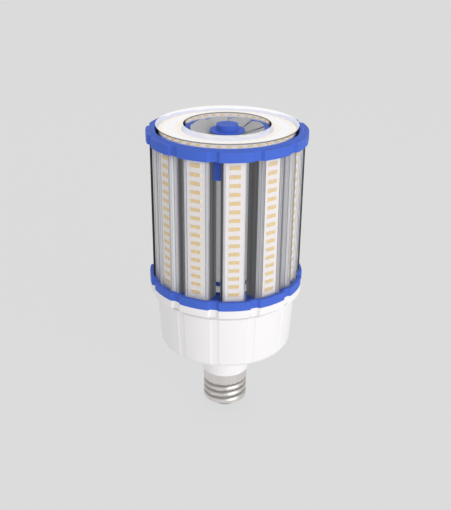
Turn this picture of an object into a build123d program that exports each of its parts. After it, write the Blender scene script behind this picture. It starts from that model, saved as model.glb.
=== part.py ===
from build123d import *

import os
from math import atan2, cos, degrees, hypot, radians, sin, tan

# LED post top lamp on a mogul screw base, in millimetres.
# The axis is Z, the base points down, and the tip of the centre contact is at the origin.
# Strip 1 faces -Y.

os.makedirs("parts", exist_ok=True)


# Screw base

contact_r = 6.0
contact_height = 2.2
contact_bevel = 2.0
insulator_drop = 9.0
insulator_bevel = 6.6
insulator_depth = 4.0
insulator_sides = 24
shell_r = 19.6
shell_inner_r = 17.8
shell_length = 30.3

# White housing

neck_r = 20.8
neck_length = 17.7
neck_spigot = 9.0
mouth_inset = 5.9
bowl_flare = 2.4
bowl_wall = 2.2
belly_rise = 15.4
belly_inset = 1.5
bowl_corner = 2.6
crease_depth = 0.6
bowl_height = 43.0
vent_gap = 5.1
collar_height = 6.4
collar_plate = 2.5
collar_spigot = 8.0
wire_hole = 10.0
rib_count = 3
rib_width = 2.0
rib_inner_r = 35.0
rib_outer_r = 50.0
rib_height = 11.4

# Lobed rings

strip_count = 12
lobe_r = 65.2
lobe_step = 2.0
lobe_half_angle = 11.0
lobe_step_angle = 1.9
ring_wall = 2.0
bottom_ring_height = 7.4
bottom_floor = 2.5
top_ring_height = 7.8
top_pocket_depth = 0.7
top_web = 2.2
open_height = 115.4
rim_inset = 3.5
rim_slope = 1.7
rim_lip = 1.7
rim_height = 0.9
rim_gap = 1.0
key_reach = 7.0
key_depth = 4.5
key_length = 24.6
key_count = 3

# Floor of the bottom ring

vent_slot_width = 5.2
vent_slot_depth = 3.4
vent_slot_inset = 1.1
floor_ledge = 4.4
core_socket_wall = 1.7
core_socket_height = 6.5
plate_seat_height = 2.5
plate_seat_wall = 2.3

# Light strips

bar_half_width = 9.3
bar_depth = 16.0
bar_wall = 1.6
bar_rebate = 3.4
groove_drop = 3.2
groove_height = 5.6
groove_depth = 0.8
board_width = 14.5
board_thickness = 1.2
board_margin = 2.0
led_row_width = 8.4
led_height = 2.8
led_thickness = 0.7
led_rows = 16
led_row_spacing = 7.05
led_drop = 0.8
cover_inset = 1.1
cover_overhang = 0.2
cover_thickness = 1.1
light_depth = 5.1

# Core and top

core_gap = 9.6
core_wall = 1.6
plate_thickness = 1.5
top_cover_gap = 0.9
top_cover_height = 5.2
top_cover_wall = 1.4
top_board_gap = 0.4
top_board_sides = 24

# Fan

duct_inset = 1.0
duct_wall = 4.0
duct_above_pocket = 0.6
fan_height = 13.1
fan_flange = 6.6
fan_flange_sides = 12
motor_plate_r = 12.5
motor_plate_sides = 8
motor_plate = 2.0
spoke_count = 4
spoke_width = 3.0
spoke_lap = 1.0
bearing_r = 3.2
bearing_height = 7.6
stator_r = 11.6
stator_sides = 12
stator_height = 6.4
shaft_r = 1.5
shaft_foot = 1.0
hub_r = 13.4
hub_wall = 1.0
hub_sides = 18
hub_height = 8.7
hub_top = 1.5
hub_drop = 1.2
blade_count = 9
blade_gap = 0.5
blade_tip_rise = 2.5
blade_thickness = 1.2
blade_tilt = 20.0
blade_pitch = 5.5
blade_gap_angle = 2.4
blade_start_angle = 13.0
cap_flange_r = 14.1
cap_flange = 1.2
cap_boss_r = 8.8
cap_boss_height = 4.6

# Driver in the housing

driver_board_inset = 10.7
driver_board_sides = 8
driver_board_thickness = 1.6
transformer_size = (30.0, 24.0, 20.0)
transformer_place = (-14.0, 6.0)
capacitor_r = 7.5
capacitor_height = 24.0
capacitor_place = (16.0, 12.0)
lead_width = 1.4
lead_hole = 2.0
shell_lead_r = 14.0

# Clearances

slip = 0.1
thread_slip = 0.05
running = 0.05
key_slip = 0.2

# Levels above the tip of the contact

shell_foot_z = insulator_drop
shell_top_z = shell_foot_z + shell_length
insulator_top_z = shell_foot_z + insulator_depth
neck_top_z = shell_top_z + neck_length
belly_z = neck_top_z + belly_rise
bowl_foot_z = belly_z + bowl_corner
bowl_floor_z = belly_z + bowl_wall
rib_top = bowl_floor_z + rib_height
bowl_mouth_z = bowl_foot_z + bowl_height
collar_z = bowl_mouth_z + vent_gap
collar_foot_z = bowl_mouth_z - collar_spigot
ring_z = collar_z + collar_height
floor_z = ring_z + bottom_floor
ring_top_z = ring_z + bottom_ring_height
top_ring_z = ring_top_z + open_height
band_top_z = top_ring_z + top_ring_height
rim_top_z = band_top_z + rim_height
pocket_z = band_top_z - top_pocket_depth
web_z = pocket_z - top_web
strip_length = web_z - floor_z
duct_top_z = pocket_z + duct_above_pocket
duct_z = duct_top_z - fan_height
motor_top_z = duct_z + motor_plate
hub_top_z = pocket_z - hub_drop
hub_foot_z = hub_top_z - hub_height
cover_top_z = pocket_z + top_cover_height
board_top_z = rib_top + driver_board_thickness

# Radii and widths from the outside of the lobes inwards

strip_pitch = 360 / strip_count
recess_r = lobe_r - lobe_step
cover_outer_r = recess_r - cover_inset
bar_seat_r = cover_outer_r - light_depth
bar_shoulder_r = bar_seat_r - bar_rebate
bar_inner_r = bar_seat_r - bar_depth
groove_r = bar_shoulder_r - groove_drop
cover_half_width = bar_half_width + cover_overhang
bar_neck_half_width = cover_half_width - cover_thickness - slip
bowl_mouth_r = lobe_r - mouth_inset
bowl_foot_r = bowl_mouth_r - bowl_flare
belly_r = bowl_foot_r - belly_inset
mouth_inner_r = bowl_mouth_r - bowl_wall
bowl_inner_r = bowl_foot_r - bowl_wall
driver_board_r = bowl_inner_r - driver_board_inset
core_r = bar_inner_r - core_gap
floor_hole_r = core_r - floor_ledge
vent_slot_r = bar_inner_r - vent_slot_inset
key_outer_r = bar_inner_r + key_reach
key_tip_r = key_outer_r - key_depth
duct_r = core_r - duct_inset
blade_r = duct_r - blade_gap
fan_flange_r = duct_r + fan_flange
frame_outer_r = duct_r + duct_wall
rim_outer_r = lobe_r - rim_inset
rim_lip_r = rim_outer_r - rim_slope
rim_inner_r = rim_lip_r - rim_lip
top_cover_outer_r = rim_inner_r - rim_gap
top_cover_inner_r = frame_outer_r + top_cover_gap


def strip_angle(n):
    return n * strip_pitch - 90


def polar(radius, angle):
    return (radius * cos(radians(angle)), radius * sin(radians(angle)))


def strip_plane(n, z):
    # Level plane whose X is across strip n and whose Y points outwards along it.
    across = polar(1, strip_angle(n) - 90)
    return Plane(origin=(0, 0, z), x_dir=(*across, 0), z_dir=(0, 0, 1))


def strip_face(n, radius, z):
    # Upright plane that faces outwards at strip n, with Y up.
    out = polar(1, strip_angle(n))
    side = polar(1, strip_angle(n) + 90)
    return Plane(origin=(*polar(radius, strip_angle(n)), z), x_dir=(*side, 0), z_dir=(*out, 0))


def lobed_line():
    # Outline with one lobe in front of each strip and a recess at each gap.
    recess_angle = strip_pitch - 2 * (lobe_half_angle + lobe_step_angle)
    with BuildLine() as outline:
        for n in range(strip_count):
            lobe_start = strip_angle(n) - lobe_half_angle
            lobe_end = strip_angle(n) + lobe_half_angle
            recess_start = lobe_end + lobe_step_angle
            recess_end = recess_start + recess_angle
            CenterArc((0, 0), lobe_r, lobe_start, 2 * lobe_half_angle)
            Polyline(
                polar(lobe_r, lobe_end),
                polar(recess_r, recess_start),
                polar(recess_r, recess_end),
                polar(lobe_r, recess_end + lobe_step_angle),
            )
    return outline.edges()


def pocket_line():
    # Inner outline of a lobed ring: a flat pocket for each strip, drawn in at each gap.
    corner_x = cover_half_width + slip
    corner_y = cover_outer_r + slip
    corner_r = hypot(corner_x, corner_y)
    corner_angle = degrees(atan2(corner_x, corner_y))
    waist_angle = lobe_half_angle + lobe_step_angle
    points = []
    for n in range(strip_count):
        points += [
            polar(recess_r - ring_wall, strip_angle(n) - waist_angle),
            polar(corner_r, strip_angle(n) - corner_angle),
            polar(corner_r, strip_angle(n) + corner_angle),
            polar(recess_r - ring_wall, strip_angle(n) + waist_angle),
        ]
    with BuildLine() as outline:
        Polyline(*points, close=True)
    return outline.edges()


def turned_line(points):
    # Closed half section of a turned piece, as (radius, height) points.
    with BuildLine() as section:
        Polyline(*points, close=True)
    return section.edges()


def mirrored(points):
    # Closed symmetric outline from the points of its right half, listed outwards to inwards.
    return points + [(-x, y) for x, y in reversed(points)]


def flats_r(radius, sides):
    # Corner radius of a regular polygon whose flats lie at the given radius.
    return radius / cos(radians(180 / sides))


def save(piece, name):
    piece.part.label = name
    export_step(piece.part, f"parts/{name}.step")


# Screw base

with BuildPart() as centre_contact:
    with BuildSketch():
        RegularPolygon(contact_r, insulator_sides)
    extrude(amount=contact_height)
    chamfer(centre_contact.faces().sort_by(Axis.Z)[0].edges(), contact_bevel)
save(centre_contact, "centre_contact")

insulator_r = shell_inner_r - slip

with BuildPart() as base_insulator:
    with BuildSketch(Plane.XY.offset(contact_height)):
        RegularPolygon(insulator_r, insulator_sides)
    extrude(amount=insulator_top_z - contact_height)
    chamfer(base_insulator.faces().sort_by(Axis.Z)[0].edges(), insulator_bevel)
    with BuildSketch(Plane.XY.offset(contact_height)):
        Rectangle(lead_hole, lead_hole)
    extrude(amount=insulator_top_z - contact_height, mode=Mode.SUBTRACT)
save(base_insulator, "base_insulator")

with BuildPart() as screw_shell:
    with BuildSketch(Plane.XY.offset(shell_foot_z)):
        Circle(shell_r)
        Circle(shell_inner_r, mode=Mode.SUBTRACT)
    extrude(amount=shell_length)
save(screw_shell, "screw_shell")


# White housing

spigot_r = shell_inner_r - slip
rib_r = (rib_inner_r + rib_outer_r) / 2

crease_slope = bowl_flare / bowl_height
crease_length = 2 * bowl_height
crease_half_floor = bowl_mouth_r * radians(strip_pitch / 2 - lobe_half_angle - lobe_step_angle)
crease_half_mouth = bowl_mouth_r * radians(strip_pitch / 2 - lobe_half_angle)
crease_outline = mirrored([
    (crease_half_mouth, -crease_depth),
    (crease_half_mouth, 0),
    (crease_half_floor, crease_depth),
])


def crease_plane(angle):
    # Plane below the bowl whose normal runs up the bowl's wall and whose Y points into it.
    foot_r = bowl_foot_r - crease_slope * bowl_height / 2
    foot_z = bowl_foot_z - bowl_height / 2
    side = polar(1, angle + 90)
    up = (*polar(crease_slope, angle), 1)
    return Plane(origin=(*polar(foot_r, angle), foot_z), x_dir=(*side, 0), z_dir=up)


with BuildPart() as driver_housing:
    with BuildSketch(Plane.XZ):
        make_face(turned_line([
            (0, shell_top_z - neck_spigot),
            (spigot_r, shell_top_z - neck_spigot),
            (spigot_r, shell_top_z),
            (neck_r, shell_top_z),
            (neck_r, neck_top_z),
            (belly_r, belly_z),
            (bowl_foot_r, bowl_foot_z),
            (bowl_mouth_r, bowl_mouth_z),
            (mouth_inner_r, bowl_mouth_z),
            (mouth_inner_r, collar_foot_z),
            (0, collar_foot_z),
        ]))
    revolve(axis=Axis.Z)
    for n in range(strip_count):
        with BuildSketch(crease_plane(strip_angle(n) + strip_pitch / 2)):
            with BuildLine():
                Polyline(*crease_outline, close=True)
            make_face()
        extrude(amount=crease_length, mode=Mode.SUBTRACT)
    with BuildSketch(Plane.XY.offset(bowl_floor_z)):
        RegularPolygon(bowl_inner_r, strip_count)
    extrude(amount=collar_foot_z - bowl_floor_z, mode=Mode.SUBTRACT)
    with BuildSketch(Plane.XY.offset(bowl_floor_z)):
        with PolarLocations(rib_r, rib_count):
            Rectangle(rib_outer_r - rib_inner_r, rib_width)
    extrude(amount=rib_top - bowl_floor_z)
    with BuildSketch(Plane.XY.offset(bowl_floor_z)):
        with Locations((0, 0), (shell_lead_r, 0)):
            Rectangle(lead_hole, lead_hole)
    extrude(amount=-bowl_floor_z, mode=Mode.SUBTRACT)
save(driver_housing, "driver_housing")

collar_spigot_r = mouth_inner_r - slip

with BuildPart() as housing_collar:
    with BuildSketch(Plane.XY.offset(collar_z)):
        make_face(lobed_line())
    extrude(amount=collar_height)
    with BuildSketch(Plane.XY.offset(collar_foot_z)):
        Circle(collar_spigot_r)
    extrude(amount=collar_z - collar_foot_z)
    with BuildSketch(Plane.XY.offset(collar_foot_z)):
        RegularPolygon(bowl_inner_r, strip_count)
    extrude(amount=ring_z - collar_plate - collar_foot_z, mode=Mode.SUBTRACT)
    with BuildSketch(Plane.XY.offset(ring_z)):
        Rectangle(wire_hole, wire_hole)
    extrude(amount=-collar_plate, mode=Mode.SUBTRACT)
save(housing_collar, "housing_collar")


# Driver

with BuildPart() as driver_board:
    with BuildSketch(Plane.XY.offset(rib_top)):
        RegularPolygon(driver_board_r, driver_board_sides)
    extrude(amount=driver_board_thickness)
save(driver_board, "driver_board")

with BuildPart() as driver_transformer:
    with BuildSketch(Plane.XY.offset(board_top_z)):
        with Locations(transformer_place):
            Rectangle(transformer_size[0], transformer_size[1])
    extrude(amount=transformer_size[2])
save(driver_transformer, "driver_transformer")

with BuildPart() as driver_capacitor:
    with BuildSketch(Plane.XY.offset(board_top_z)):
        with Locations(capacitor_place):
            Circle(capacitor_r)
    extrude(amount=capacitor_height)
save(driver_capacitor, "driver_capacitor")

shell_foot_reach = shell_inner_r - slip - shell_lead_r + lead_width / 2
shell_foot_mid = shell_inner_r - slip - shell_foot_reach / 2

with BuildPart() as supply_leads:
    with BuildSketch(Plane.XY.offset(contact_height)):
        Rectangle(lead_width, lead_width)
    extrude(amount=rib_top - contact_height)
    with BuildSketch(Plane.XY.offset(insulator_top_z)):
        with Locations((shell_lead_r, 0)):
            Rectangle(lead_width, lead_width)
    extrude(amount=rib_top - insulator_top_z)
    with BuildSketch(Plane.XY.offset(insulator_top_z)):
        with Locations((shell_foot_mid, 0)):
            Rectangle(shell_foot_reach, lead_width)
    extrude(amount=lead_width)
save(supply_leads, "supply_leads")


# Bottom ring, core and its plate

socket_inner_r = core_r + slip
socket_outer_r = socket_inner_r + core_socket_wall
plate_seat_r = socket_outer_r + plate_seat_wall
plate_z = floor_z + plate_seat_height
turned = strip_pitch / 2

with BuildPart() as bottom_ring:
    with BuildSketch(Plane.XY.offset(ring_z)):
        make_face(lobed_line())
    extrude(amount=bottom_ring_height)
    with BuildSketch(Plane.XY.offset(floor_z)):
        make_face(pocket_line())
    extrude(amount=bottom_ring_height, mode=Mode.SUBTRACT)
    with BuildSketch(Plane.XY.offset(floor_z)):
        RegularPolygon(flats_r(plate_seat_r, strip_count), strip_count, rotation=turned)
    extrude(amount=plate_seat_height)
    with BuildSketch(Plane.XY.offset(plate_z)):
        RegularPolygon(flats_r(socket_outer_r, strip_count), strip_count, rotation=turned)
    extrude(amount=core_socket_height - plate_seat_height)
    with BuildSketch(Plane.XY.offset(floor_z)):
        Circle(socket_inner_r)
    extrude(amount=core_socket_height, mode=Mode.SUBTRACT)
    with BuildSketch(Plane.XY.offset(ring_z)):
        RegularPolygon(floor_hole_r, strip_count)
        with PolarLocations(vent_slot_r, strip_count, start_angle=strip_pitch / 2):
            Rectangle(vent_slot_depth, vent_slot_width)
    extrude(amount=bottom_floor, mode=Mode.SUBTRACT)
save(bottom_ring, "bottom_ring")

with BuildPart() as core_base_plate:
    with BuildSketch(Plane.XY.offset(plate_z)):
        RegularPolygon(flats_r(bar_inner_r - slip, strip_count), strip_count, rotation=turned)
        RegularPolygon(
            flats_r(socket_outer_r + slip, strip_count),
            strip_count,
            rotation=turned,
            mode=Mode.SUBTRACT,
        )
    extrude(amount=plate_thickness)
save(core_base_plate, "core_base_plate")

with BuildPart() as core_tube:
    with BuildSketch(Plane.XY.offset(floor_z)):
        Circle(core_r)
        Circle(core_r - core_wall, mode=Mode.SUBTRACT)
    extrude(amount=duct_z - floor_z)
save(core_tube, "core_tube")


# Light strips

groove_half_width = bar_half_width - groove_depth
bar_outline = mirrored([
    (bar_neck_half_width, bar_seat_r),
    (bar_neck_half_width, bar_shoulder_r),
    (bar_half_width, bar_shoulder_r),
    (bar_half_width, groove_r),
    (groove_half_width, groove_r),
    (groove_half_width, groove_r - groove_height),
    (bar_half_width, groove_r - groove_height),
    (bar_half_width, bar_inner_r),
])
cavity_outline = mirrored([
    (groove_half_width - bar_wall, bar_shoulder_r - bar_wall),
    (groove_half_width - bar_wall, bar_inner_r + bar_wall),
])
cover_outline = mirrored([
    (cover_half_width, cover_outer_r),
    (cover_half_width, bar_shoulder_r),
    (cover_half_width - cover_thickness, bar_shoulder_r),
    (cover_half_width - cover_thickness, cover_outer_r - cover_thickness),
])

board_length = strip_length - 2 * board_margin
strip_mid_z = floor_z + strip_length / 2
led_mid_z = ring_top_z + open_height / 2 - led_drop
led_seat_r = bar_seat_r + board_thickness

for n in range(strip_count):
    number = f"{n + 1:02d}"

    with BuildPart() as heatsink_bar:
        with BuildSketch(strip_plane(n, floor_z)):
            with BuildLine():
                Polyline(*bar_outline, close=True)
            make_face()
            with BuildLine():
                Polyline(*cavity_outline, close=True)
            make_face(mode=Mode.SUBTRACT)
        extrude(amount=strip_length)
    save(heatsink_bar, f"heatsink_bar_{number}")

    with BuildPart() as led_board:
        with BuildSketch(strip_face(n, bar_seat_r, strip_mid_z)):
            Rectangle(board_width, board_length)
        extrude(amount=board_thickness)
    save(led_board, f"led_board_{number}")

    with BuildPart() as strip_cover:
        with BuildSketch(strip_plane(n, floor_z)):
            with BuildLine():
                Polyline(*cover_outline, close=True)
            make_face()
        extrude(amount=strip_length)
    save(strip_cover, f"strip_cover_{number}")

with BuildPart() as strip_leds:
    for n in range(strip_count):
        with BuildSketch(strip_face(n, led_seat_r, led_mid_z)):
            with GridLocations(led_row_width, led_row_spacing, 1, led_rows):
                Rectangle(led_row_width, led_height)
        extrude(amount=led_thickness)
save(strip_leds, "strip_leds")


# Top ring

def key_half_width(radius):
    # Half the space between two neighbouring bars, less the clearance.
    half = radians(strip_pitch / 2)
    return (radius * sin(half) - bar_half_width) / cos(half) - key_slip


with BuildPart() as top_ring:
    with BuildSketch(Plane.XY.offset(top_ring_z)):
        make_face(lobed_line())
    extrude(amount=top_ring_height)
    with BuildSketch(Plane.XY.offset(top_ring_z)):
        make_face(pocket_line())
    extrude(amount=web_z - top_ring_z, mode=Mode.SUBTRACT)
    with BuildSketch(Plane.XZ):
        make_face(turned_line([
            (0, band_top_z),
            (rim_outer_r, band_top_z),
            (rim_lip_r, rim_top_z),
            (0, rim_top_z),
        ]))
    revolve(axis=Axis.Z)
    with BuildSketch(Plane.XY.offset(pocket_z)):
        Circle(rim_inner_r)
    extrude(amount=rim_top_z - pocket_z, mode=Mode.SUBTRACT)
    with BuildSketch(Plane.XY.offset(web_z)):
        Circle(frame_outer_r + slip)
    extrude(amount=top_web, mode=Mode.SUBTRACT)
    for k in range(key_count):
        key_angle = strip_angle(0) - strip_pitch / 2 + k * 360 / key_count
        across = polar(1, key_angle - 90)
        key_plane = Plane(origin=(0, 0, web_z), x_dir=(*across, 0), z_dir=(0, 0, 1))
        with BuildSketch(key_plane):
            with BuildLine():
                Polyline(
                    (key_half_width(key_outer_r), key_outer_r),
                    (key_half_width(key_tip_r), key_tip_r),
                    (-key_half_width(key_tip_r), key_tip_r),
                    (-key_half_width(key_outer_r), key_outer_r),
                    close=True,
                )
            make_face()
        extrude(amount=-key_length)
save(top_ring, "top_ring")


# Light and cover of the top

board_outer_r = top_cover_outer_r - top_cover_wall - top_board_gap
board_inner_r = top_cover_inner_r + top_cover_wall + top_board_gap

with BuildPart() as top_led_board:
    with BuildSketch(Plane.XY.offset(pocket_z)):
        RegularPolygon(board_outer_r, top_board_sides)
        RegularPolygon(
            flats_r(board_inner_r, top_board_sides),
            top_board_sides,
            mode=Mode.SUBTRACT,
        )
    extrude(amount=board_thickness)
save(top_led_board, "top_led_board")

with BuildPart() as top_cover:
    with BuildSketch(Plane.XZ):
        make_face(turned_line([
            (top_cover_inner_r, pocket_z),
            (top_cover_inner_r + top_cover_wall, pocket_z),
            (top_cover_inner_r + top_cover_wall, cover_top_z - top_cover_wall),
            (top_cover_outer_r - top_cover_wall, cover_top_z - top_cover_wall),
            (top_cover_outer_r - top_cover_wall, pocket_z),
            (top_cover_outer_r, pocket_z),
            (top_cover_outer_r, cover_top_z),
            (top_cover_inner_r, cover_top_z),
        ]))
    revolve(axis=Axis.Z)
save(top_cover, "top_cover")


# Fan

spoke_length = duct_r - motor_plate_r + 2 * spoke_lap
spoke_r = (duct_r + motor_plate_r) / 2

with BuildPart() as fan_frame:
    with BuildSketch(Plane.XY.offset(duct_z)):
        RegularPolygon(flats_r(fan_flange_r, fan_flange_sides), fan_flange_sides)
    extrude(amount=web_z - duct_z)
    with BuildSketch(Plane.XY.offset(web_z)):
        Circle(frame_outer_r)
    extrude(amount=duct_top_z - web_z)
    with BuildSketch(Plane.XY.offset(duct_z)):
        Circle(duct_r)
    extrude(amount=fan_height, mode=Mode.SUBTRACT)
    with BuildSketch(Plane.XY.offset(duct_z)):
        RegularPolygon(motor_plate_r, motor_plate_sides)
        with PolarLocations(spoke_r, spoke_count, start_angle=45):
            Rectangle(spoke_length, spoke_width)
    extrude(amount=motor_plate)
    with BuildSketch(Plane.XY.offset(motor_top_z)):
        Circle(bearing_r)
    extrude(amount=bearing_height)
    with BuildSketch(Plane.XY.offset(duct_z + shaft_foot)):
        Circle(shaft_r + running)
    extrude(amount=motor_plate + bearing_height, mode=Mode.SUBTRACT)
save(fan_frame, "fan_frame")

with BuildPart() as fan_stator:
    with BuildSketch(Plane.XY.offset(motor_top_z)):
        RegularPolygon(stator_r, stator_sides)
        Circle(bearing_r + slip, mode=Mode.SUBTRACT)
    extrude(amount=stator_height)
save(fan_stator, "fan_stator")

shaft_z = duct_z + shaft_foot + slip

with BuildPart() as fan_shaft:
    with BuildSketch(Plane.XY.offset(shaft_z)):
        Circle(shaft_r)
    extrude(amount=hub_top_z - shaft_z)
save(fan_shaft, "fan_shaft")

blade_half_angle = (360 / blade_count - blade_gap_angle) / 2
blade_root_r = hub_r - hub_wall / 2
blade_tip_z = pocket_z + blade_tip_rise
blade_axis_z = blade_tip_z - blade_r * tan(radians(blade_tilt))
blade_plane = Plane.XY.offset(blade_axis_z).rotated((blade_tilt, -blade_pitch, 0))
root_y = blade_root_r / cos(radians(blade_tilt))
tip_y = (blade_r - blade_thickness * sin(radians(blade_tilt))) / cos(radians(blade_tilt))

with BuildPart() as fan_blade:
    with BuildSketch(blade_plane):
        with BuildLine():
            root_right = polar(root_y, 90 - blade_half_angle)
            root_left = polar(root_y, 90 + blade_half_angle)
            tip_right = polar(tip_y, 90 - blade_half_angle)
            tip_left = polar(tip_y, 90 + blade_half_angle)
            Line(root_left, root_right)
            Line(root_right, tip_right)
            CenterArc((0, 0), tip_y, 90 - blade_half_angle, 2 * blade_half_angle)
            Line(tip_left, root_left)
        make_face()
    extrude(amount=-blade_thickness)

with BuildPart() as fan_impeller:
    with PolarLocations(0, blade_count, start_angle=blade_start_angle):
        add(fan_blade.part)
    with BuildSketch(Plane.XY.offset(hub_foot_z)):
        RegularPolygon(hub_r, hub_sides)
    extrude(amount=hub_height)
    with BuildSketch(Plane.XY.offset(hub_foot_z)):
        RegularPolygon(hub_r - hub_wall, hub_sides)
    extrude(amount=hub_height - hub_top, mode=Mode.SUBTRACT)
    with BuildSketch(Plane.XY.offset(hub_foot_z)):
        Circle(shaft_r + thread_slip)
    extrude(amount=hub_height, mode=Mode.SUBTRACT)
save(fan_impeller, "fan_impeller")

with BuildPart() as fan_hub_cap:
    with BuildSketch(Plane.XY.offset(hub_top_z)):
        Circle(cap_flange_r)
    extrude(amount=cap_flange)
    with BuildSketch(Plane.XY.offset(hub_top_z + cap_flange)):
        Circle(cap_boss_r)
    extrude(amount=cap_boss_height)
save(fan_hub_cap, "fan_hub_cap")
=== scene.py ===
# LED post top lamp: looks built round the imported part. Metres, +Z up, strip 1 faces -Y.

import math

import bpy
from mathutils import Matrix, Vector


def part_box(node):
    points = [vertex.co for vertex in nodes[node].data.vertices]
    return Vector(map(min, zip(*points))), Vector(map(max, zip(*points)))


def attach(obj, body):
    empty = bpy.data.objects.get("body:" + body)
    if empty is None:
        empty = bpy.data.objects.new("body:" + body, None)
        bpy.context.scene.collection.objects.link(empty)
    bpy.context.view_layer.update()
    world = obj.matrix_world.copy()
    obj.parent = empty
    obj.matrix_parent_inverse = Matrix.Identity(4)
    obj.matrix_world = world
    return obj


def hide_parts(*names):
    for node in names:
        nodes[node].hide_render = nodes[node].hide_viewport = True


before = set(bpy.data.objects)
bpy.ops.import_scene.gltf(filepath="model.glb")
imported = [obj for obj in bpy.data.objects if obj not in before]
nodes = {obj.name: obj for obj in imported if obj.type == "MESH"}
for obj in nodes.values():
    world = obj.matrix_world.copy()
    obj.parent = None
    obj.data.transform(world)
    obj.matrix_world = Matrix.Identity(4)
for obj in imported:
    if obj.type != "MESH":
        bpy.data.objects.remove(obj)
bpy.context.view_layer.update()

mm = 0.001
stripCount = 12
print("frame loaded:", len(nodes), "nodes")


def hexLinear(code, alpha=1.0):
    # An sRGB hex value as the linear colour that the sockets take.
    values = []
    for start in (0, 2, 4):
        level = int(code[start:start + 2], 16) / 255
        values.append(level / 12.92 if level <= 0.04045 else ((level + 0.055) / 1.055) ** 2.4)
    return (*values, alpha)


def addNode(tree, kind, settings=None, links=None):
    # Settings are the node's own values, links are the sockets or plain values that feed it.
    node = tree.nodes.new(kind)
    for key, value in (settings or {}).items():
        if isinstance(key, str) and hasattr(node, key):
            setattr(node, key, value)
        else:
            node.inputs[key].default_value = value
    for key, source in (links or {}).items():
        if isinstance(source, bpy.types.NodeSocket):
            tree.links.new(source, node.inputs[key])
        else:
            node.inputs[key].default_value = source
    return node


def newMaterial(name):
    material = bpy.data.materials.new(name)
    material.use_nodes = True
    tree = material.node_tree
    return material, tree, tree.nodes["Principled BSDF"]


def fromAxis(tree):
    # The way out from the lamp's axis to a point of the surface, and how far out it is.
    place = addNode(tree, "ShaderNodeTexCoord")
    level = addNode(
        tree,
        "ShaderNodeVectorMath",
        {"operation": "MULTIPLY", 1: (1.0, 1.0, 0.0)},
        {0: place.outputs["Object"]},
    )
    radius = addNode(tree, "ShaderNodeVectorMath", {"operation": "LENGTH"}, {0: level.outputs[0]})
    return level.outputs[0], radius.outputs["Value"]


def newTree(name, sizes):
    # A Geometry Nodes group with the named inputs and one geometry output.
    tree = bpy.data.node_groups.new(name, "GeometryNodeTree")
    for label, socketType in sizes.items():
        tree.interface.new_socket(name=label, in_out="INPUT", socket_type=socketType)
    tree.interface.new_socket(name="Geometry", in_out="OUTPUT", socket_type="NodeSocketGeometry")
    return tree, addNode(tree, "NodeGroupInput").outputs


def buildFromTree(name, tree, values):
    # Runs the tree once and keeps its result as a plain mesh.
    piece = bpy.data.objects.new(name, bpy.data.meshes.new(name + "Start"))
    bpy.context.scene.collection.objects.link(piece)
    modifier = piece.modifiers.new("Build", "NODES")
    modifier.node_group = tree
    for item in tree.interface.items_tree:
        if item.in_out == "INPUT":
            modifier[item.identifier] = values[item.name]
    evaluated = piece.evaluated_get(bpy.context.evaluated_depsgraph_get())
    mesh = bpy.data.meshes.new_from_object(evaluated)
    mesh.name = name
    piece.modifiers.remove(modifier)
    piece.data = mesh
    return piece


def dress(material, *names):
    for name in names:
        for slot in nodes[name].material_slots:
            slot.link = "OBJECT"
            slot.material = material


def numbered(stem):
    return [f"{stem}_{n:02d}" for n in range(1, stripCount + 1)]


# Grain and depth are in mm. The grain is drawn as coarse as it needs to show.
bluePlastic = {
    "colour": "4a6bcf", "roughness": 0.50, "ior": 1.50, "specular": 0.10,
    "grain": 0.5, "depth": 0.010,
}
whitePlastic = {
    "colour": "f3f1f2", "roughness": 0.34, "ior": 1.53, "specular": 0.5,
    "grain": 0.9, "depth": 0.006,
}
greyPlastic = {
    "colour": "b4b4b5", "roughness": 0.55, "ior": 1.50, "specular": 0.4,
    "grain": 0.5, "depth": 0.010,
}
mouldGrain = {"detail": 2.0, "strength": 0.5}


def mouldedPlastic(name, look):
    # ABS out of a steel mould: an even colour, a soft sheen and the mould's fine grain.
    material, tree, surface = newMaterial(name)
    surface.inputs["Base Color"].default_value = hexLinear(look["colour"])
    surface.inputs["Roughness"].default_value = look["roughness"]
    surface.inputs["IOR"].default_value = look["ior"]
    surface.inputs["Specular IOR Level"].default_value = look["specular"]
    place = addNode(tree, "ShaderNodeTexCoord")
    grain = addNode(
        tree,
        "ShaderNodeTexNoise",
        {"Scale": 1 / (look["grain"] * mm), "Detail": mouldGrain["detail"]},
        {"Vector": place.outputs["Object"]},
    )
    bump = addNode(
        tree,
        "ShaderNodeBump",
        {"Strength": mouldGrain["strength"], "Distance": look["depth"] * mm},
        {"Height": grain.outputs["Fac"]},
    )
    tree.links.new(bump.outputs["Normal"], surface.inputs["Normal"])
    return material


# Glow is a little light of the metal's own, in place of what bounces about between the bars.
# The deep colour is painted shade down between the bars.
barLook = {
    "light": "f4f4f5", "mid": "dadadd", "dark": "9c9ca1", "paintedShade": "39393d",
    "metallic": 0.35, "roughness": 0.32, "glow": 0.06,
}
coreLook = {
    "light": "f2f2f3", "mid": "dcdcde", "dark": "b4b4b8", "paintedShade": "b4b4b8",
    "metallic": 0.10, "roughness": 0.45, "glow": 0.20,
}
dieBandsAndShade = {
    "pitch": 3.2,  # drawn as coarse as it needs to show
    "detail": 2.0,
    "darkAt": 0.40, "midAt": 0.46, "lightAt": 0.58,
    "unshadedDepth": 2.0,  # how far in from its outer face a bar stays free of painted shade
    "shadeFade": 2.5,  # over how much more the painted shade darkens it
    "shadedBandShare": 0.15,  # share of the bands that still shows through the painted shade deep between the bars
}


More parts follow.
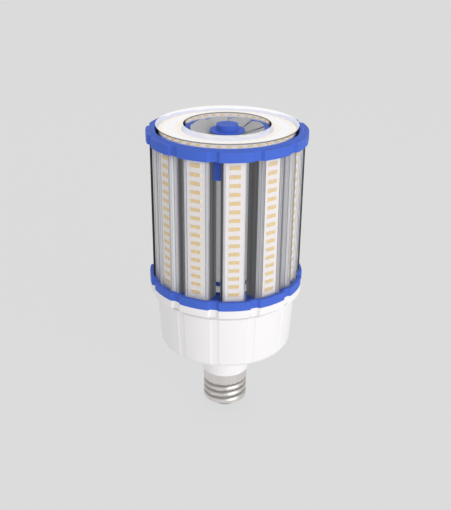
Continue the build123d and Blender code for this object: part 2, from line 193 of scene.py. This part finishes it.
def extrudedAluminium(name, look, shadeFullAt, shadeStartAt):
    # Bare extrusion: the die leaves uneven bands along its length, which read as grey streaks.
    # Down between the bars it is painted darker, as painted shade.
    material, tree, surface = newMaterial(name)
    surface.inputs["Metallic"].default_value = look["metallic"]
    surface.inputs["Roughness"].default_value = look["roughness"]
    surface.inputs["Emission Color"].default_value = hexLinear(look["light"])
    surface.inputs["Emission Strength"].default_value = look["glow"]
    radius = fromAxis(tree)[1]
    bands = addNode(
        tree,
        "ShaderNodeTexNoise",
        {
            "noise_dimensions": "1D",
            "Scale": 1 / (dieBandsAndShade["pitch"] * mm),
            "Detail": dieBandsAndShade["detail"],
        },
        {"W": radius},
    )
    ramp = addNode(tree, "ShaderNodeValToRGB", None, {"Fac": bands.outputs["Fac"]})
    stops = ramp.color_ramp.elements
    stops[0].position, stops[0].color = dieBandsAndShade["darkAt"], hexLinear(look["dark"])
    stops[1].position, stops[1].color = dieBandsAndShade["lightAt"], hexLinear(look["light"])
    stops.new(dieBandsAndShade["midAt"]).color = hexLinear(look["mid"])
    # Painted shade: the colour goes dark from a bar's outer land inwards.
    rise = addNode(
        tree,
        "ShaderNodeMapRange",
        {"From Min": shadeFullAt, "From Max": shadeStartAt, "To Min": dieBandsAndShade["shadedBandShare"]},
        {"Value": radius},
    )
    colour = addNode(
        tree,
        "ShaderNodeMix",
        {"data_type": "RGBA", 6: hexLinear(look["paintedShade"])},
        {0: rise.outputs["Result"], 7: ramp.outputs["Color"]},
    )
    tree.links.new(colour.outputs[2], surface.inputs["Base Color"])
    return material


nickelLook = {"crest": "e6e2df", "valleyShade": "9a9795", "roughness": 0.46, "valleyDepth": 1.3}


def nickelPlate(crestRadius):
    # Nickel on a rolled shell: a warm grey metal with a satin polish, with painted shade darkening
    # its valleys.
    material, tree, surface = newMaterial("nickelPlate")
    surface.inputs["Metallic"].default_value = 1.0
    surface.inputs["Roughness"].default_value = nickelLook["roughness"]
    # Painted shade: darker the further a point sits below the thread's crest.
    rise = addNode(
        tree,
        "ShaderNodeMapRange",
        {"From Min": crestRadius - nickelLook["valleyDepth"] * mm, "From Max": crestRadius},
        {"Value": fromAxis(tree)[1]},
    )
    colour = addNode(
        tree,
        "ShaderNodeMix",
        {"data_type": "RGBA"},
        {
            0: rise.outputs["Result"],
            6: hexLinear(nickelLook["valleyShade"]),
            7: hexLinear(nickelLook["crest"]),
        },
    )
    tree.links.new(colour.outputs[2], surface.inputs["Base Color"])
    return material


# lipDark and endDark are painted shade on the covers' lips; edgeFrom and edgeTo set where the
# painted dark of edge-on walls starts and is full.
stripLook = {
    "sheen": 0.10, "topSheen": 0.10, "sideSheen": 0.75, "glow": 0.0,
    "edgeFrom": 0.84, "edgeTo": 0.92,
    "lipWidth": 1.7, "lipDark": 0.40, "endDark": 0.95,
}
# Here glow is painted light on the top cover, in place of the bright backdrop that its top
# reflects.
topLook = {
    "sheen": 0.10, "topSheen": 0.58, "sideSheen": 0.10, "glow": 0.48,
    "edgeFrom": 0.58, "edgeTo": 0.74,
    "lipWidth": 1.1, "lipDark": 0.60, "endDark": 0.60,
}
acrylic = {
    "roughness": 0.10, "ior": 1.49, "glowColour": "ffffff", "clear": "fdfdfe", "edge": "1c1c20",
    # The streak colours are a painted reflection of the metal's bands on the side walls.
    "streakLight": "ececed", "streakDark": "aaaaae",
    "streakPitch": 2.4, "streakShare": 0.24,  # drawn as coarse as they need to show
    "blend": 0.5,
    "steep": 0.5,  # cosine from which a face counts as turned one way
    "endFrom": 0.72,  # how far the front wall turns away before its end is painted dark
    "paintedReflectionDepth": 6.2,  # how deep the painted reflection on a strip cover's side walls goes
}


def clearAcrylic(name, look, lipOnTop, lipFrom, paintedReflectionFrom):
    # Clear acrylic over white boards: a painted white sheen where it is faced, and more, a painted
    # reflection, on the top.
    # Its side walls carry a painted reflection of the grey streaks of the metal beside them. What
    # is seen edge-on is painted dark.
    material, tree, surface = newMaterial(name)
    surface.inputs["Roughness"].default_value = acrylic["roughness"]
    surface.inputs["IOR"].default_value = acrylic["ior"]
    surface.inputs["Emission Color"].default_value = hexLinear(acrylic["glowColour"])
    surface.inputs["Emission Strength"].default_value = look["glow"]

    side = addNode(tree, "ShaderNodeNewGeometry").outputs
    normal = addNode(tree, "ShaderNodeSeparateXYZ", None, {0: side["Normal"]})
    place = addNode(tree, "ShaderNodeTexCoord")
    point = addNode(tree, "ShaderNodeSeparateXYZ", None, {0: place.outputs["Object"]})
    path = addNode(tree, "ShaderNodeLightPath").outputs
    level, radius = fromAxis(tree)
    unit = addNode(tree, "ShaderNodeVectorMath", {"operation": "NORMALIZE"}, {0: level})
    outwards = unit.outputs[0]
    radial = addNode(
        tree,
        "ShaderNodeVectorMath",
        {"operation": "DOT_PRODUCT"},
        {0: outwards, 1: side["Normal"]},
    )
    seenWall = addNode(tree, "ShaderNodeLayerWeight", {"Blend": acrylic["blend"]})
    frontWall = addNode(
        tree, "ShaderNodeLayerWeight", {"Blend": acrylic["blend"]}, {"Normal": outwards}
    )
    found = {
        "backfacing": side["Backfacing"],
        "normalZ": normal.outputs["Z"],
        "height": point.outputs["Z"],
        "radius": radius,
        "radial": radial.outputs["Value"],
        "facing": seenWall.outputs["Facing"],
        "frontFacing": frontWall.outputs["Facing"],
        "shadowRay": path["Is Shadow Ray"],
        "diffuseRay": path["Is Diffuse Ray"],
    }
    steps = (
        # which way a face is turned
        ("front", "SUBTRACT", 1.0, "backfacing"),
        ("upward", "GREATER_THAN", "normalZ", acrylic["steep"]),
        ("wall", "SUBTRACT", 1.0, "upward"),
        ("radialSize", "ABSOLUTE", "radial"),
        ("faced", "GREATER_THAN", "radialSize", acrylic["steep"]),
        ("unfaced", "SUBTRACT", 1.0, "faced"),
        ("across", "MULTIPLY", "wall", "unfaced"),
        # how much painted white sheen it has: more on upward faces, a painted reflection, and on
        # the outer side walls, a painted reflection of the metal
        ("topExtra", "MULTIPLY", "upward", look["topSheen"] - look["sheen"]),
        ("outer", "GREATER_THAN", "radius", paintedReflectionFrom),
        ("satin", "MULTIPLY", "across", "outer"),
        ("sideExtra", "MULTIPLY", "satin", look["sideSheen"] - look["sheen"]),
        ("extra", "ADD", "topExtra", "sideExtra"),
        ("sheen", "ADD", "extra", look["sheen"]),
        ("sheenShare", "MULTIPLY", "sheen", "front"),
        # the grey lines along the side walls, a painted reflection of the metal's bands
        ("ridges", "DIVIDE", "radius", acrylic["streakPitch"] * mm),
        ("ridge", "FRACT", "ridges"),
        ("onLine", "LESS_THAN", "ridge", acrylic["streakShare"]),
        ("line", "MULTIPLY", "onLine", "across"),
        # painted dark where a wall is seen edge-on
        ("past", "SUBTRACT", "facing", look["edgeFrom"]),
        ("pastShare", "DIVIDE", "past", look["edgeTo"] - look["edgeFrom"]),
        ("pastMost", "MINIMUM", "pastShare", 1.0),
        ("grazing", "MAXIMUM", "pastMost", 0.0),
        ("edgeOn", "MULTIPLY", "grazing", "wall"),
        # painted dark on the lip, in place of the end of the next wall seen edge-on
        ("beyond", "GREATER_THAN", "height" if lipOnTop else "radius", lipFrom),
        ("onLip", "MULTIPLY", "beyond", "wall" if lipOnTop else "across"),
        ("endOn", "GREATER_THAN", "frontFacing", acrylic["endFrom"]),
        ("endExtra", "MULTIPLY", "endOn", look["endDark"] - look["lipDark"]),
        ("lipShade", "ADD", "endExtra", look["lipDark"]),
        ("lip", "MULTIPLY", "onLip", "lipShade"),
        ("dark", "MAXIMUM", "edgeOn", "lip"),
        ("darkShare", "MULTIPLY", "dark", "front"),
        ("lit", "MAXIMUM", "shadowRay", "diffuseRay"),
    )
    for label, operation, *terms in steps:
        inputs = {index: found.get(term, term) for index, term in enumerate(terms)}
        found[label] = addNode(tree, "ShaderNodeMath", {"operation": operation}, inputs).outputs[0]

    colour = addNode(
        tree,
        "ShaderNodeMix",
        {"data_type": "RGBA"},
        {
            0: found["line"],
            6: hexLinear(acrylic["streakLight"]),
            7: hexLinear(acrylic["streakDark"]),
        },
    )
    tree.links.new(colour.outputs[2], surface.inputs["Base Color"])
    clear = addNode(tree, "ShaderNodeBsdfTransparent", {"Color": hexLinear(acrylic["clear"])})
    # The edge colour is painted shade, mixed in where walls are seen edge-on and on the lips.
    edge = addNode(tree, "ShaderNodeBsdfDiffuse", {"Color": hexLinear(acrylic["edge"])})
    last = clear.outputs[0]
    for share, added in (
        ("sheenShare", surface.outputs["BSDF"]),
        ("darkShare", edge.outputs[0]),
        ("lit", clear.outputs[0]),
    ):
        mix = addNode(tree, "ShaderNodeMixShader", None, {0: found[share], 1: last, 2: added})
        last = mix.outputs[0]
    tree.links.new(last, tree.nodes["Material Output"].inputs["Surface"])
    return material


plainLooks = {
    # colour, roughness and metallic of each
    "whiteSolderMask": ("ece7e4", 0.45, 0.0),  # baked lacquer: flat, white and faintly warm
    "chipCeramic": ("f4f0e6", 0.50, 0.0),  # fired ceramic: a matt cream rim round each chip
    "phosphorGel": ("e6c684", 0.50, 0.0),  # phosphor in silicone: an even dull yellow
    "blackGlass": ("1d1d20", 0.12, 0.0),  # pressed glass: near black and glossy
    "solderTip": ("c9c7c2", 0.35, 1.0),  # solder on brass: dull silver
    "glassEpoxyBoard": ("2f6b45", 0.40, 0.0),  # lacquered laminate: green with a low shine
    "varnishedWinding": ("4a3426", 0.45, 0.0),  # varnish on copper wire: dark brown
    "vinylSleeve": ("26262a", 0.50, 0.0),  # shrunk vinyl: plain black
    "groundSteel": ("b8b8ba", 0.25, 1.0),  # ground steel: bright and sharp
}


def plainFinish(name, colour, roughness, metallic):
    material, tree, surface = newMaterial(name)
    surface.inputs["Base Color"].default_value = hexLinear(colour)
    surface.inputs["Roughness"].default_value = roughness
    surface.inputs["Metallic"].default_value = metallic
    return material


blueAbs = mouldedPlastic("blueAbs", bluePlastic)
whiteAbs = mouldedPlastic("whiteAbs", whitePlastic)
greyNylon = mouldedPlastic("greyNylon", greyPlastic)
barShadeStart = -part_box("heatsink_bar_01")[0][1] - dieBandsAndShade["unshadedDepth"] * mm
barShadeFull = barShadeStart - dieBandsAndShade["shadeFade"] * mm
barAluminium = extrudedAluminium("barAluminium", barLook, barShadeFull, barShadeStart)
coreAluminium = extrudedAluminium("coreAluminium", coreLook, 0.0, mm)
nickel = nickelPlate(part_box("screw_shell")[1][0])
coverLow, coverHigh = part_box("strip_cover_01")
cornerRadius = math.hypot(coverLow[1], coverHigh[0])
stripLip = cornerRadius - stripLook["lipWidth"] * mm
stripPaintedReflection = cornerRadius - acrylic["paintedReflectionDepth"] * mm
stripAcrylic = clearAcrylic("stripAcrylic", stripLook, False, stripLip, stripPaintedReflection)
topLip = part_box("top_cover")[1][2] - topLook["lipWidth"] * mm
topAcrylic = clearAcrylic("topAcrylic", topLook, True, topLip, 0.0)
plain = {name: plainFinish(name, *look) for name, look in plainLooks.items()}
phosphor = plain["phosphorGel"]

dress(blueAbs, "bottom_ring", "top_ring", "fan_frame", "fan_hub_cap")
dress(whiteAbs, "driver_housing", "housing_collar")
dress(greyNylon, "fan_impeller")
dress(barAluminium, *numbered("heatsink_bar"))
dress(coreAluminium, "core_tube", "core_base_plate")
dress(plain["whiteSolderMask"], "top_led_board", *numbered("led_board"))
dress(stripAcrylic, *numbered("strip_cover"))
dress(topAcrylic, "top_cover")
dress(nickel, "screw_shell")
dress(plain["blackGlass"], "base_insulator")
dress(plain["solderTip"], "centre_contact")
dress(plain["glassEpoxyBoard"], "driver_board")
dress(plain["varnishedWinding"], "driver_transformer", "fan_stator")
dress(plain["vinylSleeve"], "driver_capacitor", "supply_leads")
dress(plain["groundSteel"], "fan_shaft")
print("materials done")


def chipRingTree():
    # A grid of blocks, stood at its place and repeated round the axis.
    tree, given = newTree("chipRing", {
        "Block": "NodeSocketVector",
        "Columns": "NodeSocketInt",
        "Rows": "NodeSocketInt",
        "Width": "NodeSocketFloat",
        "Height": "NodeSocketFloat",
        "Tilt": "NodeSocketVector",
        "Place": "NodeSocketVector",
        "Copies": "NodeSocketInt",
        "Finish": "NodeSocketMaterial",
    })
    block = addNode(tree, "GeometryNodeMeshCube", None, {"Size": given["Block"]})
    grid = addNode(tree, "GeometryNodeMeshGrid", None, {
        "Size X": given["Width"],
        "Size Y": given["Height"],
        "Vertices X": given["Columns"],
        "Vertices Y": given["Rows"],
    })
    chips = addNode(tree, "GeometryNodeInstanceOnPoints", None, {
        "Points": grid.outputs["Mesh"],
        "Instance": block.outputs["Mesh"],
    })
    stood = addNode(tree, "GeometryNodeTransform", None, {
        "Geometry": chips.outputs["Instances"],
        "Translation": given["Place"],
        "Rotation": given["Tilt"],
    })
    solid = addNode(
        tree, "GeometryNodeRealizeInstances", None, {"Geometry": stood.outputs["Geometry"]}
    )
    centre = addNode(tree, "GeometryNodePoints", None, {"Count": given["Copies"]})
    index = addNode(tree, "GeometryNodeInputIndex")
    share = addNode(
        tree, "ShaderNodeMath", {"operation": "DIVIDE"}, {0: index.outputs[0], 1: given["Copies"]}
    )
    angle = addNode(
        tree, "ShaderNodeMath", {"operation": "MULTIPLY"}, {0: share.outputs[0], 1: 2 * math.pi}
    )
    turn = addNode(tree, "ShaderNodeCombineXYZ", None, {"Z": angle.outputs[0]})
    ring = addNode(tree, "GeometryNodeInstanceOnPoints", None, {
        "Points": centre.outputs[0],
        "Instance": solid.outputs["Geometry"],
        "Rotation": turn.outputs["Vector"],
    })
    whole = addNode(
        tree, "GeometryNodeRealizeInstances", None, {"Geometry": ring.outputs["Instances"]}
    )
    finish = addNode(tree, "GeometryNodeSetMaterial", None, {
        "Geometry": whole.outputs["Geometry"],
        "Material": given["Finish"],
    })
    addNode(tree, "NodeGroupOutput", None, {"Geometry": finish.outputs["Geometry"]})
    return tree


stripChips = {
    "width": 4.0, "height": 3.2, "columns": 2, "rows": 16, "columnPitch": 4.4,
    "gelMargin": 0.08, "gelProud": 0.03,
}
topChips = {
    "width": 3.5, "depth": 2.8, "thickness": 0.7,
    "rings": ((53.0, 42), (40.0, 36)),  # radius and number of chips
}

chipRing = chipRingTree()
rowsLow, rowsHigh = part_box("strip_leds")
chipFront = rowsLow[1]
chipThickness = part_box("led_board_01")[0][1] - chipFront
rowsHeight = rowsHigh[2] - rowsLow[2] - stripChips["height"] * mm
rowsMiddle = (rowsHigh[2] + rowsLow[2]) / 2


def stripChipPiece(name, trim, thickness, front, finish):
    # Blocks in two columns on the front strip, repeated for every strip.
    return buildFromTree(name, chipRing, {
        "Block": ((stripChips["width"] - trim) * mm, (stripChips["height"] - trim) * mm, thickness),
        "Columns": stripChips["columns"],
        "Rows": stripChips["rows"],
        "Width": stripChips["columnPitch"] * mm,
        "Height": rowsHeight,
        "Tilt": (math.pi / 2, 0.0, 0.0),
        "Place": (0.0, front + thickness / 2, rowsMiddle),
        "Copies": stripCount,
        "Finish": finish,
    })


stripFrames = stripChipPiece(
    "strip_chip_frames", 0.0, chipThickness, chipFront, plain["chipCeramic"]
)
gelDepth = 2 * stripChips["gelProud"] * mm
stripGels = stripChipPiece(
    "strip_chip_gels", 2 * stripChips["gelMargin"], gelDepth, chipFront - gelDepth / 2, phosphor
)
for piece in (stripFrames, stripGels):
    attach(piece, "lamp_body")
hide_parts("strip_leds")

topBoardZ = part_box("top_led_board")[1][2]
for number, (radius, count) in enumerate(topChips["rings"], 1):
    ringChips = buildFromTree(f"top_chips_{number}", chipRing, {
        "Block": (topChips["depth"] * mm, topChips["width"] * mm, topChips["thickness"] * mm),
        "Columns": 1,
        "Rows": 1,
        "Width": 0.0,
        "Height": 0.0,
        "Tilt": (0.0, 0.0, 0.0),
        "Place": (radius * mm, 0.0, topBoardZ + topChips["thickness"] * mm / 2),
        "Copies": count,
        "Finish": phosphor,
    })
    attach(ringChips, "lamp_body")
print("chips done")


threadLook = {
    "pitch": 6.35, "depth": 1.3, "skirt": 10.0, "foot": 2.2, "fade": 1.6, "wall": 0.5,
    "around": 128, "up": 140,
}


def threadTree():
    # A tube whose radius dips along a right-hand helix and is full again at both ends.
    tree, given = newTree("threadedTube", {
        "Radius": "NodeSocketFloat",
        "Low": "NodeSocketFloat",
        "Length": "NodeSocketFloat",
        "Pitch": "NodeSocketFloat",
        "Depth": "NodeSocketFloat",
        "Thread Low": "NodeSocketFloat",
        "Thread High": "NodeSocketFloat",
        "Fade": "NodeSocketFloat",
        "Finish": "NodeSocketMaterial",
    })
    grid = addNode(tree, "GeometryNodeMeshGrid", {
        "Size X": 2 * math.pi,
        "Size Y": 1.0,
        "Vertices X": threadLook["around"] + 1,
        "Vertices Y": threadLook["up"],
    })
    position = addNode(tree, "GeometryNodeInputPosition")
    parts = addNode(tree, "ShaderNodeSeparateXYZ", None, {0: position.outputs[0]})
    found = {socket.name: socket for socket in given if socket.name}
    found["angle"] = parts.outputs["X"]
    found["row"] = parts.outputs["Y"]
    steps = (
        # the height of a point and where it stands in the thread's wave
        ("share", "ADD", "row", 0.5),
        ("climb", "MULTIPLY", "share", "Length"),
        ("height", "ADD", "climb", "Low"),
        ("pitches", "DIVIDE", "height", "Pitch"),
        ("wound", "MULTIPLY", "pitches", 2 * math.pi),
        ("phase", "SUBTRACT", "wound", "angle"),
        ("swing", "COSINE", "phase"),
        ("lifted", "SUBTRACT", 1.0, "swing"),
        ("wave", "MULTIPLY", "lifted", 0.5),
        # the wave fades in and out at the thread's two ends
        ("fromLow", "SUBTRACT", "height", "Thread Low"),
        ("rise", "DIVIDE", "fromLow", "Fade"),
        ("fromHigh", "SUBTRACT", "Thread High", "height"),
        ("fall", "DIVIDE", "fromHigh", "Fade"),
        ("nearer", "MINIMUM", "rise", "fall"),
        ("above", "MAXIMUM", "nearer", 0.0),
        ("window", "MINIMUM", "above", 1.0),
        # the radius and the place on it
        ("shown", "MULTIPLY", "wave", "window"),
        ("dip", "MULTIPLY", "shown", "Depth"),
        ("radius", "SUBTRACT", "Radius", "dip"),
        ("cosine", "COSINE", "angle"),
        ("sine", "SINE", "angle"),
        ("x", "MULTIPLY", "radius", "cosine"),
        ("y", "MULTIPLY", "radius", "sine"),
    )
    for label, operation, *terms in steps:
        inputs = {index: found.get(term, term) for index, term in enumerate(terms)}
        found[label] = addNode(tree, "ShaderNodeMath", {"operation": operation}, inputs).outputs[0]
    place = addNode(tree, "ShaderNodeCombineXYZ", None, {
        "X": found["x"],
        "Y": found["y"],
        "Z": found["height"],
    })
    tube = addNode(tree, "GeometryNodeSetPosition", None, {
        "Geometry": grid.outputs["Mesh"],
        "Position": place.outputs["Vector"],
    })
    closed = addNode(
        tree, "GeometryNodeMergeByDistance", None, {"Geometry": tube.outputs["Geometry"]}
    )
    finish = addNode(tree, "GeometryNodeSetMaterial", None, {
        "Geometry": closed.outputs["Geometry"],
        "Material": given["Finish"],
    })
    addNode(tree, "NodeGroupOutput", None, {"Geometry": finish.outputs["Geometry"]})
    return tree


shellLow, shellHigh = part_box("screw_shell")
threadedShell = buildFromTree("threaded_shell", threadTree(), {
    "Radius": shellHigh[0],
    "Low": shellLow[2],
    "Length": shellHigh[2] - shellLow[2],
    "Pitch": threadLook["pitch"] * mm,
    "Depth": threadLook["depth"] * mm,
    "Thread Low": shellLow[2] + threadLook["foot"] * mm,
    "Thread High": shellHigh[2] - threadLook["skirt"] * mm,
    "Fade": threadLook["fade"] * mm,
    "Finish": nickel,
})
shellWall = threadedShell.modifiers.new("Wall", "SOLIDIFY")
shellWall.thickness = threadLook["wall"] * mm
shellWall.offset = -1.0
for face in threadedShell.data.polygons:
    face.use_smooth = True
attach(threadedShell, "lamp_body")
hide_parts("screw_shell")
print("shell done")


studio = {
    "background": "dddddd",
    "floorSize": 12.0,
    "floorGlow": 0.93,
    "ambient": 0.62,
    "aim": (0, 0, 0.15),
}
softboxes = (
    {"place": (1.1, -1.4, 0.6), "size": 0.9, "power": 11.5},
    {"place": (0.55, -1.6, 0.8), "size": 0.5, "power": 4.2},
    {"place": (-1.3, -1.0, 0.8), "size": 0.9, "power": 1.5},
    {"place": (0.0, 1.0, 1.5), "size": 1.0, "power": 2.5},
)
photo = {
    "sensor": 36.0, "lens": 55.13, "distance": 0.6084, "rise": 0.4293,
    "turn": 6.3, "yaw": -0.047, "pitch": 24.741, "roll": 0.522, "clipEnd": 50,
}


def studioFloor():
    # Paper sweep: a pale floor that shows its own colour and a little of the lamp's shadow.
    material, tree, surface = newMaterial("paperSweep")
    colour = hexLinear(studio["background"])
    surface.inputs["Base Color"].default_value = colour
    surface.inputs["Roughness"].default_value = 1.0
    glow = addNode(tree, "ShaderNodeEmission", {"Color": colour, "Strength": 1.0})
    mix = addNode(
        tree,
        "ShaderNodeMixShader",
        {0: studio["floorGlow"]},
        {1: surface.outputs["BSDF"], 2: glow.outputs["Emission"]},
    )
    tree.links.new(mix.outputs["Shader"], tree.nodes["Material Output"].inputs["Surface"])
    half = studio["floorSize"] / 2
    mesh = bpy.data.meshes.new("paperSweep")
    corners = [(-half, -half, 0), (half, -half, 0), (half, half, 0), (-half, half, 0)]
    mesh.from_pydata(corners, [], [(0, 1, 2, 3)])
    mesh.materials.append(material)
    floor = bpy.data.objects.new("paper_sweep", mesh)
    bpy.context.scene.collection.objects.link(floor)


def studioWorld():
    # White light all round. The camera, metal and clear pieces see the background's colour in it.
    world = bpy.data.worlds.new("studio")
    bpy.context.scene.world = world
    world.use_nodes = True
    tree = world.node_tree
    tree.nodes.clear()
    path = addNode(tree, "ShaderNodeLightPath").outputs
    shown = path["Is Camera Ray"]
    for ray in ("Is Transmission Ray", "Is Glossy Ray"):
        shown = addNode(
            tree, "ShaderNodeMath", {"operation": "MAXIMUM"}, {0: shown, 1: path[ray]}
        ).outputs[0]
    shades = [
        addNode(tree, "ShaderNodeBackground", {"Color": colour, "Strength": strength}).outputs[0]
        for colour, strength in (
            (hexLinear("ffffff"), studio["ambient"]),
            (hexLinear(studio["background"]), 1.0),
        )
    ]
    mix = addNode(tree, "ShaderNodeMixShader", None, {0: shown, 1: shades[0], 2: shades[1]})
    addNode(tree, "ShaderNodeOutputWorld", None, {"Surface": mix.outputs[0]})


def studioLights():
    for number, softbox in enumerate(softboxes, 1):
        lamp = bpy.data.lights.new(f"softbox{number}", "AREA")
        lamp.size = softbox["size"]
        lamp.energy = softbox["power"]
        holder = bpy.data.objects.new(f"softbox{number}", lamp)
        place = Vector(softbox["place"])
        aim = (Vector(studio["aim"]) - place).to_track_quat("-Z", "Y")
        holder.matrix_world = Matrix.Translation(place) @ aim.to_matrix().to_4x4()
        bpy.context.scene.collection.objects.link(holder)


def photoCamera():
    # Stands as the camera of the photograph did, found from the ellipses of the rings.
    turn = math.radians(photo["turn"])
    pitch = math.radians(photo["pitch"])
    roll = math.radians(photo["roll"])
    heading = turn + math.radians(photo["yaw"])
    ahead = Vector((math.sin(heading), math.cos(heading), 0))
    forward = ahead * math.cos(pitch) - Vector((0, 0, math.sin(pitch)))
    right = Vector((math.cos(heading), -math.sin(heading), 0))
    up = right.cross(forward)
    rolledRight = right * math.cos(roll) + up * math.sin(roll)
    rolledUp = up * math.cos(roll) - right * math.sin(roll)
    place = Vector((-math.sin(turn), -math.cos(turn), 0)) * photo["distance"]
    place.z = photo["rise"]
    data = bpy.data.cameras.new("photoCamera")
    data.lens = photo["lens"]
    data.sensor_width = photo["sensor"]
    data.clip_end = photo["clipEnd"]
    camera = bpy.data.objects.new("photoCamera", data)
    turned = Matrix((rolledRight, rolledUp, -forward)).transposed().to_4x4()
    camera.matrix_world = Matrix.Translation(place) @ turned
    bpy.context.scene.collection.objects.link(camera)
    bpy.context.scene.camera = camera


studioFloor()
studioWorld()
studioLights()
photoCamera()
bpy.context.scene.view_settings.view_transform = "Standard"
print("studio done")
